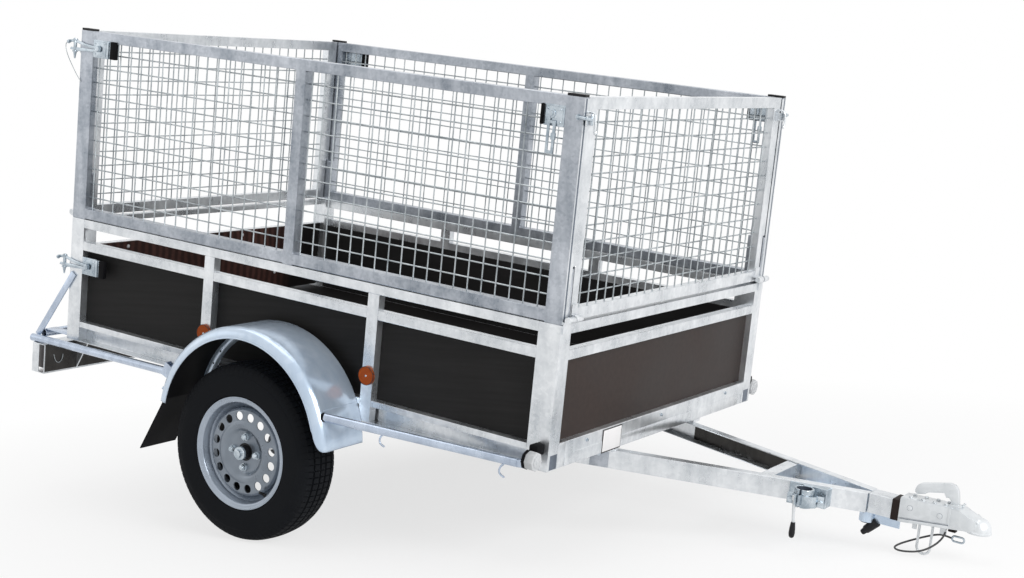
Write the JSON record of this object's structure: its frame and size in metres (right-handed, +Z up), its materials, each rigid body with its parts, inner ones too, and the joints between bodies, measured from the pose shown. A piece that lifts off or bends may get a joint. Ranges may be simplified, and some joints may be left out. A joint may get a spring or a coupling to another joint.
{
  "type": "utility trailer",
  "caption": "Single-axle car trailer with low boarded body, drop tailgate, tall welded-mesh cage with folding end gates, mudguards and an A-frame drawbar resting on its wire foot",
  "frame": {"origin": "on the floor under the middle of the whole trailer", "axes": "+X forward to the coupling, +Y left, +Z up; the bed slopes nose-down because the drawbar rests on its wire foot"},
  "size_m": [3.2568, 1.7764, 1.6702],
  "materials": {
    "galvanised_steel": "hot-dip galvanised, dull with bright streaks",
    "zinc_fittings": "zinc plated, satin",
    "mesh_wire": "galvanised wire",
    "silver_rim": "silver wheel paint",
    "tyre": "matte",
    "black_rubber": "matte",
    "black_plastic": "satin",
    "plywood": "dark film-faced plywood",
    "red_lens": "gloss",
    "orange_lens": "gloss",
    "white_lens": "gloss"
  },
  "bodies": {
    "trailer": {"axle_beam": "galvanised_steel", "body_posts": "galvanised_steel", "body_rails": "galvanised_steel", "cable_hook": "zinc_fittings", "cage_mesh_left": "mesh_wire", "cage_mesh_right": "mesh_wire", "cage_side_left": "galvanised_steel", "cage_side_right": "galvanised_steel", "clamp_lever": "zinc_fittings", "coupling_body": "zinc_fittings", "coupling_handle": "zinc_fittings", "cross_members": "galvanised_steel", "drawbar_arms": "galvanised_steel", "drawbar_brace": "galvanised_steel", "drawbar_head": "galvanised_steel", "drawbar_saddles": "galvanised_steel", "floor_board": "plywood", "front_board": "plywood", "front_sill": "galvanised_steel", "gate_hinges": "zinc_fittings", "jockey_clamp": "zinc_fittings", "latch_blocks": "black_rubber", "latches": "zinc_fittings", "light_bar": "galvanised_steel", "marker_arms": "black_rubber", "marker_lamps": "white_lens", "mudflaps": "black_rubber", "mudguard_left": "galvanised_steel", "mudguard_right": "galvanised_steel", "plug": "black_plastic", "plug_holder": "zinc_fittings", "post_caps": "black_plastic", "rear_braces": "galvanised_steel", "rear_brackets": "galvanised_steel", "rear_lamps": "red_lens", "safety_cable": "black_plastic", "side_board_left": "plywood", "side_board_right": "plywood", "side_reflectors": "orange_lens", "side_sills": "galvanised_steel", "side_tubes": "galvanised_steel", "stay_clips": "galvanised_steel", "step_tube": "galvanised_steel", "swing_arms": "galvanised_steel", "tailgate_hinges": "zinc_fittings", "wire_foot": "zinc_fittings"},
    "wheel_right": {"tyre_right": "tyre", "rim_right": "silver_rim", "hub_right": "zinc_fittings"},
    "wheel_left": {"tyre_left": "tyre", "rim_left": "silver_rim", "hub_left": "zinc_fittings"},
    "tailgate": {"tailgate_frame": "galvanised_steel", "tailgate_board": "plywood"},
    "gate_rear": {"gate_frame_rear": "galvanised_steel", "gate_mesh_rear": "mesh_wire"},
    "gate_front": {"gate_frame_front": "galvanised_steel", "gate_mesh_front": "mesh_wire"}
  },
  "joints": [
    {"name": "wheel_right_spin", "type": "hinge", "parent": "trailer", "child": "wheel_right", "pos_m": [-0.50169, -0.7855, 0.287], "axis": [0, 1, 0], "continuous": true},
    {"name": "wheel_left_spin", "type": "hinge", "parent": "trailer", "child": "wheel_left", "pos_m": [-0.50169, 0.7855, 0.287], "axis": [0, 1, 0], "continuous": true},
    {"name": "tailgate_hinge", "type": "hinge", "parent": "trailer", "child": "tailgate", "pos_m": [-1.47066, 0, 0.66388], "axis": [0, -1, 0], "range_deg": [0, 120]},
    {"name": "gate_rear_hinge", "type": "hinge", "parent": "trailer", "child": "gate_rear", "pos_m": [-1.41687, 0, 1.035], "axis": [0, -1, 0], "range_deg": [0, 100]},
    {"name": "gate_front_hinge", "type": "hinge", "parent": "trailer", "child": "gate_front", "pos_m": [0.61787, 0, 0.7401], "axis": [0, 1, 0], "range_deg": [0, 100]}
  ]
}
